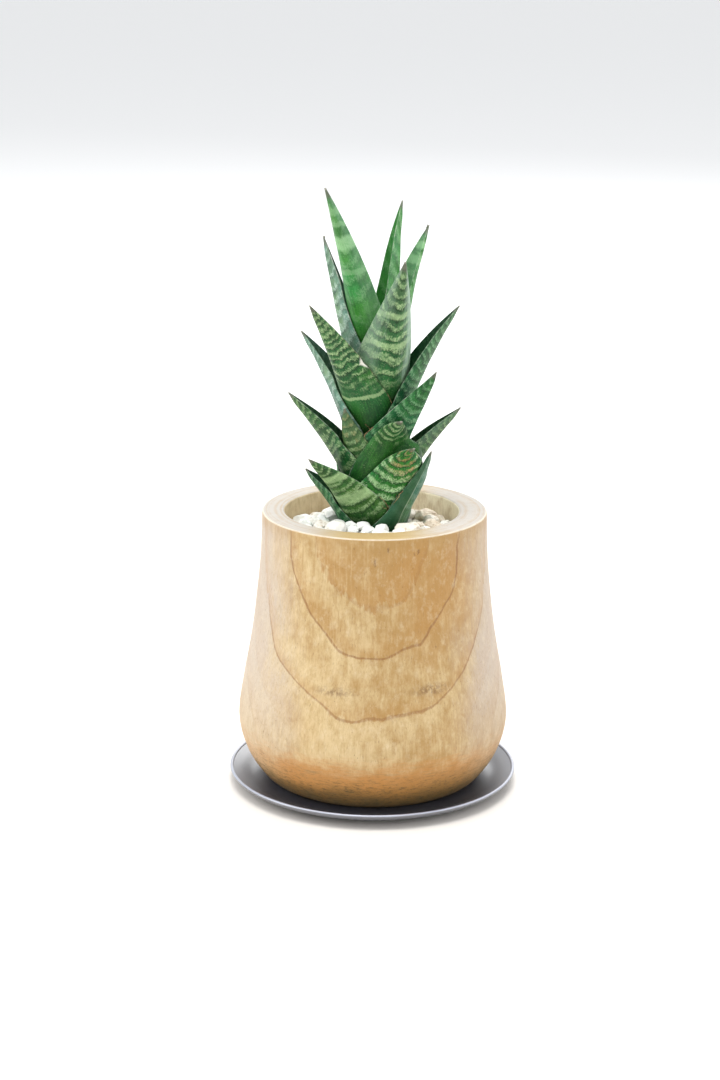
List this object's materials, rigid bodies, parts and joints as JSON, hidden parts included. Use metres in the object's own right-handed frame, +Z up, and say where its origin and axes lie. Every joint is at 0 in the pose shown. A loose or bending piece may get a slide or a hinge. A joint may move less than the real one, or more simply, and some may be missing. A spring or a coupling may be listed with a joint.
{
  "type": "potted snake plant",
  "caption": "Short snake plant: thick, pointed, cross-banded leaves clasp a hidden stem in a spiral above white stones, in a turned wooden pot on a dark, shallow, round saucer.",
  "frame": {"origin": "on the saucer's axis, on the surface that the saucer stands on", "axes": "+Z up along the pot's axis. The side that faces the viewer is toward -Y, and +X is to that viewer's right."},
  "size_m": [0.1536, 0.1536, 0.3218],
  "materials": {
    "saucer_glaze": "satin charcoal",
    "pot_wood": "turned and lightly oiled",
    "soil_dark": "crumbly",
    "stem_green": "matt",
    "stone_white": "tumbled",
    "leaf_green": "waxy satin"
  },
  "bodies": {
    "root": {"saucer": "saucer_glaze", "pot": "pot_wood", "soil": "soil_dark", "stem": "stem_green", "stones": "stone_white", "leaf_01": "leaf_green", "leaf_02": "leaf_green", "leaf_03": "leaf_green", "leaf_04": "leaf_green", "leaf_05": "leaf_green", "leaf_06": "leaf_green", "leaf_07": "leaf_green", "leaf_08": "leaf_green", "leaf_09": "leaf_green", "leaf_10": "leaf_green", "leaf_11": "leaf_green", "leaf_12": "leaf_green", "leaf_13": "leaf_green", "leaf_14": "leaf_green", "leaf_15": "leaf_green", "leaf_16": "leaf_green", "leaf_17": "leaf_green", "leaf_18": "leaf_green", "leaf_19": "leaf_green", "leaf_20": "leaf_green", "leaf_21": "leaf_green", "leaf_22": "leaf_green", "leaf_23": "leaf_green"}
  },
  "joints": []
}
